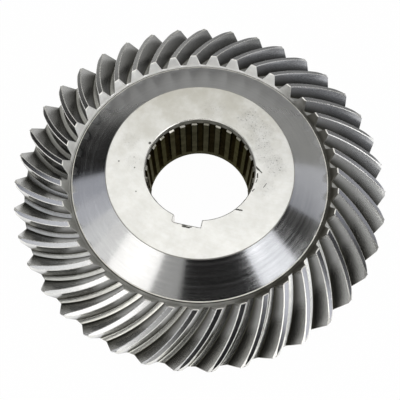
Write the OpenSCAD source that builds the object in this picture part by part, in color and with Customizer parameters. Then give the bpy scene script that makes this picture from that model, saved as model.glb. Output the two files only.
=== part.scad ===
// Spiral bevel gear, one piece of steel.
// A ring of curved teeth surrounds a turned cone, which rises to a flat hub face.
// The bore is splined, with a plain pilot at each end and one keyway along it.
// The origin is on the axis of the bore at the back face, and +Z points to the hub face.

/* [Teeth] */
// Number of teeth
teeth = 39; // [36:1:44]
// Number of teeth of the pinion that the gear runs with
pinion_teeth = 17; // [15:1:20]
// Module at the heel, the outer end of the teeth
outer_module = 7; // [6.6:0.1:7.8]
// Length of the teeth along the pitch cone
face_width = 42; // [36:1:46]
// Spiral angle at the middle of the face
spiral_angle = 35; // [30:1:38]
// Slope of the tooth flanks
pressure_angle = 21.5; // [18:0.5:23]
// Radius of the ring of blades that cut the slots
cutter_radius = 114.3; // [100:0.1:130]
// Width across the points of the blades, at the bottom of a slot
slot_width = 3.8; // [3:0.1:4.4]
// Fillet between a flank and the bottom of its slot
root_fillet = 0.6; // [0.3:0.05:0.9]
// Height of the teeth above the pitch cone, at the heel
addendum = 3.3; // [2.4:0.1:4]
// Depth of the slots below the pitch cone, at the heel
heel_dedendum = 9.9; // [8.8:0.1:11]
// Depth of the slots below the pitch cone, at the toe
toe_dedendum = 6.2; // [5.6:0.1:6.8]
// Rounding of the outer tip of the teeth
heel_round = 1; // [0.5:0.1:3]
// Turn of the first slot about the axis
first_slot = 8.1; // [0:0.1:10]

/* [Cone and hub] */
// Diameter of the flat hub face
hub_d = 134; // [120:1:150]
// Height of the hub face above the rim of the turned cone
cone_drop = 12.7; // [9:0.1:16]
// Width of the ledge between the rim and the toe of the teeth
ledge_width = 2.5; // [1.6:0.1:3.5]
// Clearance of the rim below the path of the cutter
rim_clearance = 0.3; // [0.15:0.05:0.6]
// Depth of the ledge below the bottoms of the slots
ledge_depth = 0.55; // [0.4:0.05:0.9]
// Width of the foot of the rim on the ledge
rim_foot = 0.4; // [0.2:0.05:0.8]
// Bevel on the edges of the hub and of the bore's mouths
edge_break = 0.5; // [0.2:0.1:1]

/* [Back] */
// Metal behind the bottoms of the slots, along the back cone
rim_back = 16.4; // [10:0.1:22]
// Diameter of the boss on the back
boss_d = 150; // [125:1:180]
// Height of the boss behind the rim
boss_step = 8; // [3:0.5:14]
// Fillet at the foot of the boss
boss_fillet = 2.5; // [1:0.1:3]

/* [Bore] */
// Number of splines
splines = 27; // [18:1:30]
// Diameter across the tops of the splines
spline_minor_d = 76; // [70:0.5:80]
// Depth of the grooves between the splines
spline_depth = 1.1; // [0.8:0.1:2]
// Width of a groove at its mouth
groove_mouth = 5; // [4.2:0.1:6]
// Width of a groove at its floor
groove_floor = 3.7; // [2.8:0.1:4.2]
// Direction of the first groove about the axis
first_groove = 90; // [0:0.5:359]
// Radial clearance of the pilots past the floors of the grooves
pilot_clearance = 0.1; // [0.05:0.05:1]
// Depth of the plain pilot at each end of the bore
pilot_depth = 5.5; // [2:0.1:9]
// Width of the keyway
key_width = 20; // [14:0.5:24]
// Depth of the keyway past the pilot
key_depth = 4.2; // [2:0.1:6]
// Direction of the keyway about the axis
key_angle = 258; // [0:1:359]

/* [Hidden] */
$fn = 120;
round_steps = 2;
over = 1;
slot_rise = 1.06;
slot_run = 1.3;

// Pitch cone, with distances counted from its apex
pitch_angle = atan(teeth / pinion_teeth);
pitch_r = outer_module * teeth / 2;
heel_dist = pitch_r / sin(pitch_angle);
toe_dist = heel_dist - face_width;

// A point of the tooth section: distance down the pitch cone, and height square to it
function on_cone(dist, height) = [
    dist * sin(pitch_angle) + height * cos(pitch_angle),
    height * sin(pitch_angle) - dist * cos(pitch_angle)
];

heel_tip = on_cone(heel_dist, addendum);
toe_tip = on_cone(toe_dist, addendum * toe_dist / heel_dist);
heel_root = on_cone(heel_dist, -heel_dedendum);
toe_root = on_cone(toe_dist, -toe_dedendum);
back_edge = on_cone(heel_dist, -heel_dedendum - rim_back);

// Root cone, which the bottoms of the slots lie on
root_run = heel_root - toe_root;
root_slope = atan2(-root_run.y, root_run.x);
root_apex = heel_root.y + heel_root.x * tan(root_slope);
root_mid = (heel_root.x + toe_root.x) / 2 / cos(root_slope);
function root_height(radius) = root_apex - radius * tan(root_slope);

// Rim of the turned cone and the ledge outside it
toe_slope = (toe_tip - toe_root) / norm(toe_tip - toe_root);
toe_foot = toe_root - ledge_depth * toe_slope;
rim_r = toe_root.x - ledge_width;
rim_edge = [rim_r, root_height(rim_r) - rim_clearance];
foot_r = rim_r + rim_foot;
foot_edge = [foot_r, root_height(foot_r) - ledge_depth];

// Heights above the back face
apex_z = boss_step - back_edge.y;
height = apex_z + rim_edge.y + cone_drop;
function lifted(point) = [point.x, point.y + apex_z];

// Radii of the bore, the hub and the boss
minor_r = spline_minor_d / 2;
major_r = minor_r + spline_depth;
pilot_r = major_r + pilot_clearance;
hub_r = hub_d / 2;
boss_r = boss_d / 2;

// Points of a round that joins two straight stretches at a corner
function unit(v) = v / norm(v);
function rounded(before, corner, after, radius) =
    let (
        a = unit(before - corner),
        b = unit(after - corner),
        half = acos(a * b) / 2,
        centre = corner + unit(a + b) * radius / sin(half),
        start = corner + a * radius / tan(half) - centre,
        end = corner + b * radius / tan(half) - centre,
        sweep = 180 - 2 * half,
        side = sign(start.x * end.y - start.y * end.x)
    )
    [for (i = [0 : round_steps])
        let (turn = side * sweep * i / round_steps)
        centre + [
            start.x * cos(turn) - start.y * sin(turn),
            start.x * sin(turn) + start.y * cos(turn)
        ]];

// Half section of the gear before its slots and grooves are cut
bore_points = [
    [pilot_r + edge_break, 0],
    [pilot_r, edge_break],
    [pilot_r, pilot_depth],
    [minor_r, pilot_depth],
    [minor_r, height - pilot_depth],
    [pilot_r, height - pilot_depth],
    [pilot_r, height - edge_break],
    [pilot_r + edge_break, height]
];
front_points = [
    [hub_r - edge_break, height],
    [hub_r, height - edge_break],
    lifted(rim_edge),
    lifted(foot_edge),
    lifted(toe_foot),
    lifted(toe_tip)
];
heel_points = rounded(lifted(toe_tip), lifted(heel_tip), lifted(heel_root), heel_round);
boss_points = [
    lifted(back_edge),
    each rounded(lifted(back_edge), [boss_r, boss_step], [boss_r, 0], boss_fillet),
    [boss_r, edge_break],
    [boss_r - edge_break, 0]
];

// Section of a slot, out from the axis of the cutter and up from the root cone
slot_top = slot_rise * (addendum + heel_dedendum);
half_mouth = slot_width / 2 + slot_top * tan(pressure_angle);
slot_corners = [
    [cutter_radius - half_mouth, slot_top],
    [cutter_radius - slot_width / 2, 0],
    [cutter_radius + slot_width / 2, 0],
    [cutter_radius + half_mouth, slot_top]
];
slot_points = [
    slot_corners[0],
    each rounded(slot_corners[0], slot_corners[1], slot_corners[2], root_fillet),
    each rounded(slot_corners[1], slot_corners[2], slot_corners[3], root_fillet),
    slot_corners[3]
];

// Place of the cutter on the root cone, and the arc that it sweeps through the face
cutter_u = root_mid - cutter_radius * sin(spiral_angle);
cutter_v = -cutter_radius * cos(spiral_angle);
function swept(length) = length / cutter_radius * 180 / PI;
half_arc = swept(face_width / cos(spiral_angle) / 2);
end_arc = swept(half_mouth);
arc_start = 90 - spiral_angle - half_arc - end_arc;
arc_sweep = 2 * half_arc + slot_run * end_arc;

// Groove between two splines, and the keyway, both seen along the bore
groove_spread = (groove_mouth - groove_floor) / 2 / spline_depth;
groove_inner = groove_mouth / 2 + over * groove_spread;
groove_points = [
    [minor_r - over, -groove_inner],
    [major_r, -groove_floor / 2],
    [major_r, groove_floor / 2],
    [minor_r - over, groove_inner]
];

module blank() {
    rotate_extrude()
        polygon([each bore_points, each front_points, each heel_points, each boss_points]);
}

// One slot, cut by a ring of blades whose axis stands square to the root cone
module slot() {
    translate([0, 0, apex_z + root_apex])
        rotate([0, root_slope, 0])
            translate([cutter_u, cutter_v, 0])
                rotate_extrude(angle = arc_sweep, start = arc_start)
                    polygon(slot_points);
}

module groove() {
    translate([0, 0, -over])
        linear_extrude(height + 2 * over)
            polygon(groove_points);
}

module keyway() {
    translate([0, -key_width / 2, -over])
        cube([pilot_r + key_depth, key_width, height + 2 * over]);
}

module bevel_gear() {
    color("slategray")
        difference() {
            blank();
            for (i = [0 : teeth - 1])
                rotate([0, 0, first_slot + i * 360 / teeth])
                    slot();
            for (i = [0 : splines - 1])
                rotate([0, 0, first_groove + i * 360 / splines])
                    groove();
            rotate([0, 0, key_angle])
                keyway();
        }
}

bevel_gear();
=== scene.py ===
import math

import bmesh
import bpy
import numpy as np
from mathutils import Matrix, Vector


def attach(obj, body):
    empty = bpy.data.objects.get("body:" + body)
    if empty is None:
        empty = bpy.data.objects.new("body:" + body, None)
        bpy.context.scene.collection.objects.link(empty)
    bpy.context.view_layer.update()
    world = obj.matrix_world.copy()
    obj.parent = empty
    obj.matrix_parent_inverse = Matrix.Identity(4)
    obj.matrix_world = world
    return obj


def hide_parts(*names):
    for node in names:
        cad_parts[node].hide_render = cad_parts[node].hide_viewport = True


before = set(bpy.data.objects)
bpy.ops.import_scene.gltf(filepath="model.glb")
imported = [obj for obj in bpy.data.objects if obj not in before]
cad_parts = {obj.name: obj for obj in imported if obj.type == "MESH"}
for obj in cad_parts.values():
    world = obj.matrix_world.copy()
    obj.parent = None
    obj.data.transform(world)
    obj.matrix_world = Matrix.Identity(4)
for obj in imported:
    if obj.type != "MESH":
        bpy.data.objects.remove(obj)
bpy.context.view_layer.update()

scene = bpy.context.scene
scene.view_settings.view_transform = "Standard"
mm = 0.001

# sizes of the gear in millimetres and degrees, the same as the part's own
gear = {
    "teeth": 39,
    "pinionTeeth": 17,
    "module": 7.0,
    "faceWidth": 42.0,
    "spiralAngle": 35.0,
    "pressureAngle": 21.5,
    "cutterRadius": 114.3,
    "slotWidth": 3.8,
    "rootFillet": 0.6,
    "addendum": 3.3,
    "heelDedendum": 9.9,
    "toeDedendum": 6.2,
    "heelRound": 1.0,
    "firstSlot": 8.1,
    "hubRadius": 67.0,
    "coneDrop": 12.7,
    "ledgeWidth": 2.5,
    "rimClearance": 0.3,
    "ledgeDepth": 0.55,
    "rimFoot": 0.4,
    "edgeBreak": 0.5,
    "rimBack": 16.4,
    "bossRadius": 75.0,
    "bossStep": 8.0,
    "bossFillet": 2.5,
    "tipBreak": 0.38,     # width of the broken edges along the teeth
    "toeBreak": 0.60,     # the same round the toe end
    "heelBreak": 0.70,    # and round the heel end
    "breakSpread": (1.15, 1.2),   # how far these reach sideways, at the ends and along the teeth
    "cornerBreak": (2.2, 1.0),    # extra at the heel, on the sharp corner and on the other
    "cornerReach": 6.5,   # how far along the tooth that corner is eased
    "slotTop": 18.0,      # a height over the floor of a slot that no tooth reaches
    "farTurn": 24.0,      # a turn of the cutter that goes past both ends of a tooth
    "markShift": 37.0,    # from tooth to tooth, so that no two carry the same marks
    "rowsAlong": 26,
    "landColumns": 5,
    "flankShares": (0.0, 0.16, 0.34, 0.52, 0.70, 0.85, 0.95, 1.0),
    "filletSteps": 3,
}

# the bore, with its splines and keyway
bore = {
    "splines": 27,
    "minorRadius": 38.0,
    "majorRadius": 39.1,
    "grooveMouth": 5.0,
    "grooveFloor": 3.7,
    "firstGroove": 90.0,
    "pilotRadius": 39.2,
    "pilotDepth": 5.5,
    "endBevel": 1.0,
    "endShare": 0.85,   # how far up a spline its bevelled end reaches
    "keyWidth": 20.0,
    "keyReach": 43.4,
    "keyAngle": 258.0,
    "keyCorners": (1.6, 0.4),
    "cornerPoints": 5,
    "keySteps": 14,     # along the bottom of the keyway
    "mouthBevel": 0.5,
    "gouge": (0.75, 0.40, 0.13),   # on the mouth of the keyway: depth, place and width
    "nicks": 0.22,
}

finishes = ["hubFace", "turnedCone", "toothFlank", "slotFloor", "topLand", "toeFace", "toeEdge", "brokenEdge",
            "ledge", "pilotBore", "splineLand", "splineGroove", "turnedBack", "splineEnd", "rimLine",
            "rootFillet", "hubEdge", "boreMouth", "rimWall"]
finishIndex = {name: i for i, name in enumerate(finishes)}

verts = []
faces = []
faceUvs = []
faceFinish = []


def addRow(points):
    first = len(verts)
    verts.extend([(float(p[0]) * mm, float(p[1]) * mm, float(p[2]) * mm) for p in points])
    return list(range(first, len(verts)))


def addFace(corners, uvs, finish):
    faces.append(corners)
    faceUvs.append(uvs)
    faceFinish.append(finishIndex[finish])


# quads between two rows of the same length
def addStrip(rowA, rowB, uvA, uvB, finish):
    for i in range(len(rowA) - 1):
        corners = (rowA[i], rowA[i + 1], rowB[i + 1], rowB[i])
        uvs = (uvA[i], uvA[i + 1], uvB[i + 1], uvB[i])
        addFace(corners, uvs, finish if isinstance(finish, str) else finish[i])


def closed(row):
    return list(row) + [row[0]]


def unit(v):
    return np.array(v, float) / np.linalg.norm(v)


# tooth section: points are radius and height, counted up from the back face
sinPitch = math.sin(math.atan2(gear["teeth"], gear["pinionTeeth"]))
cosPitch = math.cos(math.atan2(gear["teeth"], gear["pinionTeeth"]))
heelDist = gear["module"] * gear["teeth"] / 2 / sinPitch
toeDist = heelDist - gear["faceWidth"]
apexZ = 0.0


def onCone(dist, rise):
    return np.array([dist * sinPitch + rise * cosPitch, rise * sinPitch - dist * cosPitch + apexZ])


apexZ = gear["bossStep"] - onCone(heelDist, -gear["heelDedendum"] - gear["rimBack"])[1]
heelTip = onCone(heelDist, gear["addendum"])
toeTip = onCone(toeDist, gear["addendum"] * toeDist / heelDist)
heelRoot = onCone(heelDist, -gear["heelDedendum"])
toeRoot = onCone(toeDist, -gear["toeDedendum"])
backEdge = onCone(heelDist, -gear["heelDedendum"] - gear["rimBack"])

rootSlope = math.atan2(toeRoot[1] - heelRoot[1], heelRoot[0] - toeRoot[0])
rootApexZ = heelRoot[1] + heelRoot[0] * math.tan(rootSlope)
rootMid = (heelRoot[0] + toeRoot[0]) / 2 / math.cos(rootSlope)


def rootHeight(radius):
    return rootApexZ - radius * math.tan(rootSlope)


toeDir = unit(toeTip - toeRoot)
toeNormal = np.array([-toeDir[1], toeDir[0]])
toeFoot = toeRoot - gear["ledgeDepth"] * toeDir
rimR = toeRoot[0] - gear["ledgeWidth"]
rimEdge = np.array([rimR, rootHeight(rimR) - gear["rimClearance"]])
footR = rimR + gear["rimFoot"]
footEdge = np.array([footR, rootHeight(footR) - gear["ledgeDepth"]])
topZ = rimEdge[1] + gear["coneDrop"]
faceDir = unit(heelTip - toeTip)
faceNormal = np.array([-faceDir[1], faceDir[0]])
backDir = unit(heelRoot - heelTip)
backNormal = np.array([-backDir[1], backDir[0]])

# round of the heel tip, between the face cone and the back cone
halfCorner = math.acos(float(-faceDir @ backDir)) / 2
roundLength = gear["heelRound"] / math.tan(halfCorner)
roundCentre = heelTip + unit(backDir - faceDir) * gear["heelRound"] / math.sin(halfCorner)
roundStart = heelTip - faceDir * roundLength
roundEnd = heelTip + backDir * roundLength
faceLength = float(np.linalg.norm(roundStart - toeTip))
roundSweep = math.pi - 2 * halfCorner
roundArc = gear["heelRound"] * roundSweep
print("height", round(topZ, 3), "tip radius", round(float(roundCentre[0] + gear["heelRound"]), 3))


# a place on the outline, by its distance from the toe tip over the face and down the back
def outlineAt(along):
    along = np.asarray(along, float)[..., None]
    onFace = toeTip + faceDir * along
    turn = np.clip((along - faceLength) / gear["heelRound"], 0, roundSweep)
    onRound = roundCentre + gear["heelRound"] * (faceNormal * np.cos(turn) + faceDir * np.sin(turn))
    onBack = roundEnd + backDir * (along - faceLength - roundArc)
    return np.where(along < faceLength, onFace, np.where(along < faceLength + roundArc, onRound, onBack))


def outlineAlong(p):
    fromStart = (p - roundStart) @ faceDir
    fromEnd = (p - roundEnd) @ backDir
    spoke = p - roundCentre
    turn = np.arctan2(spoke @ faceDir, spoke @ faceNormal)
    onRound = faceLength + gear["heelRound"] * np.clip(turn, 0, roundSweep)
    return np.where(fromEnd > 0, faceLength + roundArc + fromEnd,
                    np.where(fromStart < 0, faceLength + fromStart, onRound))


def heelGap(p):
    fromStart = (p - roundStart) @ faceDir
    fromEnd = (p - roundEnd) @ backDir
    onRound = np.linalg.norm(p - roundCentre, axis=-1) - gear["heelRound"]
    return np.where(fromEnd > 0, (p - roundEnd) @ backNormal, np.where(fromStart < 0, -1.0, onRound))


def toeGap(p):
    return (p - toeTip) @ toeNormal


def faceGap(p):
    return (p - toeTip) @ faceNormal


# a point of a slot: turn about the cutter, distance from its axis, height above the root cone
cutterR = gear["cutterRadius"]
spiral = math.radians(gear["spiralAngle"])
cutterU = rootMid - cutterR * math.sin(spiral)
cutterV = -cutterR * math.cos(spiral)
midTurn = math.pi / 2 - spiral
lean = math.radians(gear["pressureAngle"])
tanFlank = math.tan(lean)
farTurn = math.radians(gear["farTurn"])


def slotPoint(turn, reach, rise):
    u = cutterU + reach * np.cos(turn)
    x = u * math.cos(rootSlope) + rise * math.sin(rootSlope)
    y = cutterV + reach * np.sin(turn)
    z = rise * math.cos(rootSlope) - u * math.sin(rootSlope) + rootApexZ
    return np.stack([x, y, z], -1)


def flankPoint(turn, rise, side):
    return slotPoint(turn, cutterR + side * (gear["slotWidth"] / 2 + rise * tanFlank), rise)


def section(p):
    return np.stack([np.hypot(p[..., 0], p[..., 1]), p[..., 2]], -1)


def azimuth(p):
    return np.arctan2(p[..., 1], p[..., 0])


def solve(gap, inside, outside):
    inside = np.array(inside, float)
    outside = np.array(outside, float)
    for step in range(46):
        middle = (inside + outside) / 2
        isIn = gap(middle) < 0
        inside = np.where(isIn, middle, inside)
        outside = np.where(isIn, outside, middle)
    return (inside + outside) / 2


def riseToFace(turn, side):
    turn = np.asarray(turn, float)
    gap = lambda rise: faceGap(section(flankPoint(turn, rise, side)))
    return solve(gap, np.zeros_like(turn), np.full_like(turn, gear["slotTop"]))


# where the edge of a top land is, along the face from the toe tip
def alongFace(turn, side):
    return (section(flankPoint(turn, riseToFace(turn, side), side)) - toeTip) @ faceDir


# the edge along a tooth is broken, and its sharp corner at the heel is eased further
def edgeBreakAt(turn, side):
    reach = gear["cornerReach"]
    ease = np.clip((alongFace(turn, side) - faceLength + reach) / reach, 0, 1)
    return gear["tipBreak"] + gear["cornerBreak"][0 if side < 0 else 1] * ease ** 2


filletAngle = math.radians(90 - gear["pressureAngle"])
filletRun = gear["rootFillet"] * math.tan(filletAngle / 2)
filletTop = filletRun * math.cos(lean)


def flankRise(turn, side, share):
    top = riseToFace(turn, side) - edgeBreakAt(turn, side)
    return filletTop + share * (top - filletTop)


rows = gear["rowsAlong"]
shares = np.array(gear["flankShares"])


# turns of the cutter at which a line of the slot meets the toe and the heel
def endTurns(at, start):
    toe = solve(lambda t: toeGap(section(at(t))), start, start + farTurn)
    heel = solve(lambda t: heelGap(section(at(t))), start, start - farTurn)
    return toe, heel


# lines of the slot from the left top edge, down, over the floor and up to the right top edge
def flankLines(side):
    toeTurn, heelTurn = endTurns(lambda t: flankPoint(t, flankRise(t, side, shares), side),
                                 np.full(len(shares), midTurn))
    lines = []
    for n, share in enumerate(shares):
        lines.append({
            "toe": toeTurn[n],
            "heel": heelTurn[n],
            "at": lambda t, share=share: flankPoint(t, flankRise(t, side, share), side),
            "push": (side * math.cos(lean), -math.sin(lean)),
        })
    return lines


def floorLines():
    edge = gear["slotWidth"] / 2 - filletRun
    fillet = []
    for n in range(1, gear["filletSteps"]):
        angle = filletAngle * n / gear["filletSteps"]
        fillet.append((edge + gear["rootFillet"] * math.sin(angle),
                       gear["rootFillet"] * (1 - math.cos(angle)), math.sin(angle), -math.cos(angle)))
    places = [(-q, rise, -pushQ, pushRise) for q, rise, pushQ, pushRise in fillet[::-1]]
    places += [(q, 0.0, 0.0, -1.0) for q in (-edge, 0.0, edge)] + fillet
    lines = []
    for q, rise, pushQ, pushRise in places:
        at = lambda t, q=q, rise=rise: slotPoint(t, cutterR + q, rise)
        toeTurn, heelTurn = endTurns(at, midTurn)
        lines.append({"toe": float(toeTurn), "heel": float(heelTurn), "at": at, "push": (pushQ, pushRise)})
    return lines


leftLines = flankLines(-1)[::-1]
rightLines = flankLines(1)
slotLines = leftLines + floorLines() + rightLines
lineCount = len(slotLines)
leftFoot = len(leftLines) - 1
rightFoot = lineCount - len(rightLines)

slotGrid = []
rims = {"toe": [], "heel": []}
tips = {"toe": toeTip, "heel": heelTip}
rimAlong = {"toe": lambda p: (toeTip - p) @ toeDir, "heel": outlineAlong}
endSpread, sideSpread = gear["breakSpread"]
for line in slotLines:
    start = line["toe"] - gear["toeBreak"] / cutterR
    end = line["heel"] + gear["heelBreak"] / cutterR
    slotGrid.append(line["at"](np.linspace(start, end, rows + 1)))
    pushQ, pushRise = line["push"]
    for name, rim in rims.items():
        width = gear[name + "Break"]
        point = line["at"](np.array([line[name]]))[0]
        rim.append((float(azimuth(point)) + endSpread * width * pushQ / tips[name][0],
                    float(rimAlong[name](section(point))) - width * pushRise))
slotGrid = np.array(slotGrid)
toeRim, heelRim = rims["toe"], rims["heel"]

# edges of the top lands on both sides of the slot: azimuth and distance along the face
landEdge = {}
for side in (-1, 1):
    startTurn = solve(lambda t: gear["toeBreak"] - alongFace(t, side), midTurn, midTurn + farTurn)
    endTurn = solve(lambda t: alongFace(t, side) - faceLength, midTurn, midTurn - farTurn)
    turns = np.linspace(float(startTurn), float(endTurn), rows + 1)
    edgePoints = flankPoint(turns, riseToFace(turns, side), side)
    shift = sideSpread * edgeBreakAt(turns, side) / section(edgePoints)[:, 0]
    landEdge[side] = list(zip(azimuth(edgePoints) + side * shift, alongFace(turns, side)))
print("slot lines", lineCount, "rows", rows)


def polar(azimuths, radiusHeight):
    radiusHeight = np.asarray(radiusHeight)
    return np.stack([radiusHeight[..., 0] * np.cos(azimuths), radiusHeight[..., 0] * np.sin(azimuths),
                     radiusHeight[..., 1] + 0 * np.asarray(azimuths)], -1)


def toeFaceAt(azimuths, below):
    return polar(azimuths, toeTip - toeDir * np.asarray(below)[..., None])


def outlinePoints(azimuths, along):
    return polar(azimuths, outlineAt(along))


teeth = gear["teeth"]
pitchTurn = 2 * math.pi / teeth
slotTurns = [math.radians(gear["firstSlot"]) + i * pitchTurn for i in range(teeth)]
columns = gear["landColumns"]
mix = np.linspace(0, 1, columns + 1)


# lengths along a row of points, from its first one
def runAlong(points):
    return np.concatenate([[0], np.cumsum(np.linalg.norm(np.diff(points, axis=0), axis=1))])


# places across a tooth, from the right of one slot to the left of the next
def acrossTooth(right, left, turn):
    azimuths = right[0] * (1 - mix) + (left[0] + pitchTurn) * mix + turn
    return azimuths, right[1] * (1 - mix) + left[1] * mix


lineRise = runAlong(slotGrid[:, rows // 2])
lineRise -= (lineRise[leftFoot] + lineRise[rightFoot]) / 2
rowRun = runAlong(slotGrid[leftFoot])

slotRows = []
toeRows = []
heelRows = []
for turn in slotTurns:
    spin = np.array([[math.cos(turn), math.sin(turn), 0], [-math.sin(turn), math.cos(turn), 0], [0, 0, 1]])
    slotRows.append([addRow(line @ spin) for line in slotGrid])
    rim = np.array(toeRim)
    toeRows.append(addRow(toeFaceAt(rim[:, 0] + turn, rim[:, 1])))
    rim = np.array(heelRim[1:-1])
    middle = addRow(outlinePoints(rim[:, 0] + turn, rim[:, 1]))
    heelRows.append([None] + middle + [None])

landRows = []
for turn in slotTurns:
    edges = zip(landEdge[1], landEdge[-1])
    landRows.append([addRow(outlinePoints(*acrossTooth(right, left, turn))) for right, left in edges])
for i in range(teeth):
    heelRows[i][-1] = landRows[i][rows][0]
    heelRows[i][0] = landRows[i - 1][rows][columns]


# the face at one end of a tooth, up from its foot, which becomes a part of the ring there
def endFace(i, count, rim, rimRows, placeAt, ring):
    grid = []
    for n in range(count):
        azimuths, along = acrossTooth(rim[rightFoot + n], rim[leftFoot - n], slotTurns[i])
        inner = addRow(placeAt(azimuths[1:-1], along[1:-1]))
        grid.append([rimRows[i][rightFoot + n]] + inner + [rimRows[(i + 1) % teeth][leftFoot - n]])
        if n == 0:
            ring["row"] += rimRows[i][leftFoot:rightFoot + 1] + inner
            ring["azimuths"] += [rim[j][0] + slotTurns[i] for j in range(leftFoot, rightFoot + 1)]
            ring["azimuths"] += list(azimuths[1:-1])
    return grid


toeRing = {"row": [], "azimuths": []}
heelRing = {"row": [], "azimuths": []}
endRows = len(rightLines)
for i in range(teeth):
    after = (i + 1) % teeth
    slot = slotRows[i]
    land = landRows[i]
    shift = gear["markShift"] * i
    runs = shift + rowRun
    uvLine = [[(run, rise) for run in runs] for rise in lineRise]
    for j in range(lineCount - 1):
        isFlank = j < leftFoot or j >= rightFoot
        isFillet = j < leftFoot + gear["filletSteps"] or j >= rightFoot - gear["filletSteps"]
        finish = "toothFlank" if isFlank else "rootFillet" if isFillet else "slotFloor"
        addStrip(slot[j], slot[j + 1], uvLine[j], uvLine[j + 1], finish)
    # broken edges at both ends of the slot
    for k, rimRow, finish in ((0, toeRows[i], "toeFace"), (rows, heelRows[i], "brokenEdge")):
        uvs = [uvRow[k] for uvRow in uvLine]
        addStrip([line[k] for line in slot], rimRow, uvs, uvs, finish)
    # top land and the broken edges beside it
    landUv = [[(run, 3.0 * m) for m in range(columns + 1)] for run in runs]
    for k in range(rows):
        addStrip(land[k], land[k + 1], landUv[k], landUv[k + 1], "topLand")
    edgeUv = [(run, 0.0) for run in runs]
    addStrip(slot[-1], [row[0] for row in land], edgeUv, edgeUv, "brokenEdge")
    addStrip(slotRows[after][0], [row[columns] for row in land], edgeUv, edgeUv, "brokenEdge")
    # toe face of the tooth, with a painted highlight along its top edge
    endUv = [[(shift + 1.8 * m, 1.6 * n) for m in range(columns + 1)] for n in range(endRows)]
    toeGrid = endFace(i, endRows, toeRim, toeRows, toeFaceAt, toeRing)
    for n in range(endRows - 1):
        addStrip(toeGrid[n], toeGrid[n + 1], endUv[n], endUv[n + 1], "toeFace")
    addStrip(toeGrid[-1], land[0], endUv[-1], endUv[-1], "toeEdge")
    addFace((slot[-1][0], toeRows[i][-1], land[0][0]), (edgeUv[0],) * 3, "toeEdge")
    addFace((slotRows[after][0][0], toeRows[after][0], land[0][columns]), (edgeUv[0],) * 3, "toeEdge")
    # heel face of the tooth
    heelGrid = endFace(i, endRows - 1, heelRim, heelRows, outlinePoints, heelRing) + [land[rows]]
    for n in range(endRows - 1):
        addStrip(heelGrid[n], heelGrid[n + 1], endUv[n], endUv[n + 1], "turnedBack")
print("teeth made", len(verts), "points")


# turned surfaces: rings that carry on from the ends of the teeth
def addRings(ring, profile, start):
    row = ring["row"]
    azimuths = np.array(ring["azimuths"])
    turns = np.append(azimuths, azimuths[0] + 2 * math.pi)
    reached = 0.0
    last = start
    for spot, finish in profile:
        nextRow = addRow(polar(azimuths, np.tile(spot, (len(azimuths), 1))))
        step = float(np.linalg.norm(np.array(spot) - last))
        uvA = [(a * last[0], reached) for a in turns]
        uvB = [(a * spot[0], reached + step) for a in turns]
        addStrip(closed(row), closed(nextRow), uvA, uvB, finish)
        row = nextRow
        reached += step
        last = np.array(spot)
    return row


edgeBreak = gear["edgeBreak"]
coneSteps = 5
hubCorner = np.array([gear["hubRadius"], topZ])
ledgeR = toeFoot[0] - 0.25
ledgeFoot = np.array([ledgeR, rootHeight(ledgeR) - gear["ledgeDepth"]])
# outline of the front: a corner, a small step from it out and up, and the finish up to there
frontSteps = [
    (toeFoot, (0.0, 0.0), "toeFace"),
    (ledgeFoot, (0.0, -0.05), "ledge"),
    (footEdge, (0.3, 0.0), "ledge"),
    (footEdge, (0.0, 0.02), "rimWall"),
    (rimEdge, (0.03, -0.06), "rimWall"),
    (rimEdge, (-0.12, 0.03), "rimLine"),
    (rimEdge, (-0.70, 0.33), "rimLine"),
    (hubCorner, (0.1, -edgeBreak - 0.05), "turnedCone"),
    (hubCorner, (-0.12, -0.2), "hubEdge"),
    (hubCorner, (-edgeBreak, 0.0), "hubEdge"),
    (hubCorner, (-1.2, 0.0), "hubFace"),
]
frontProfile = []
for corner, step, finish in frontSteps:
    spot = corner + np.array(step)
    if finish == "turnedCone":
        coneStart = frontProfile[-1][0]
        for n in range(1, coneSteps):
            frontProfile.append((coneStart + (spot - coneStart) * n / coneSteps, finish))
    frontProfile.append((spot, finish))
hubRing = addRings(toeRing, frontProfile, toeRoot)

# outline of the back, from the heel down over the back cone to the boss
bossR = gear["bossRadius"]
bossStep = gear["bossStep"]
filletR = gear["bossFillet"]
backRun = backEdge - heelRoot
backProfile = [
    (heelRoot + backRun * 0.12, "turnedBack"),
    (heelRoot + backRun * 0.5, "turnedBack"),
    (backEdge - backDir * 0.8, "turnedBack"),
    (backEdge - (0.7, 0.0), "brokenEdge"),
    ((bossR + 22, bossStep), "turnedBack"),
    ((bossR + filletR, bossStep), "turnedBack"),
]
for n in range(1, 5):
    angle = math.radians(90 * n / 4)
    spot = (bossR + filletR * (1 - math.sin(angle)), bossStep - filletR * (1 - math.cos(angle)))
    backProfile.append((spot, "turnedBack"))
backProfile += [
    ((bossR, edgeBreak), "turnedBack"),
    ((bossR - edgeBreak, 0.0), "brokenEdge"),
    ((bossR - 1.5, 0.0), "turnedBack"),
]
bossRing = addRings(heelRing, backProfile, heelRoot)
print("turned surfaces made")

# the bore: one list of columns round it, with a place on the pilot and on the splines for each
keyAngle = math.radians(bore["keyAngle"])
halfKey = bore["keyWidth"] / 2
mouthHalf = math.asin(bore["grooveMouth"] / 2 / bore["minorRadius"])
floorHalf = math.atan2(bore["grooveFloor"] / 2, bore["majorRadius"])
floorR = math.hypot(bore["majorRadius"], bore["grooveFloor"] / 2)
splineTurn = 2 * math.pi / bore["splines"]
cornerTable = [(0.0, bore["majorRadius"]), (floorHalf, floorR), (mouthHalf, bore["minorRadius"]),
               (splineTurn / 2, bore["minorRadius"])]


def splineRadius(angle):
    offset = (angle - math.radians(bore["firstGroove"])) % splineTurn
    offset = min(offset, splineTurn - offset)
    return float(np.interp(offset, [c[0] for c in cornerTable], [c[1] for c in cornerTable]))


def wrapped(angle):
    return (angle + math.pi) % (2 * math.pi) - math.pi


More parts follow.
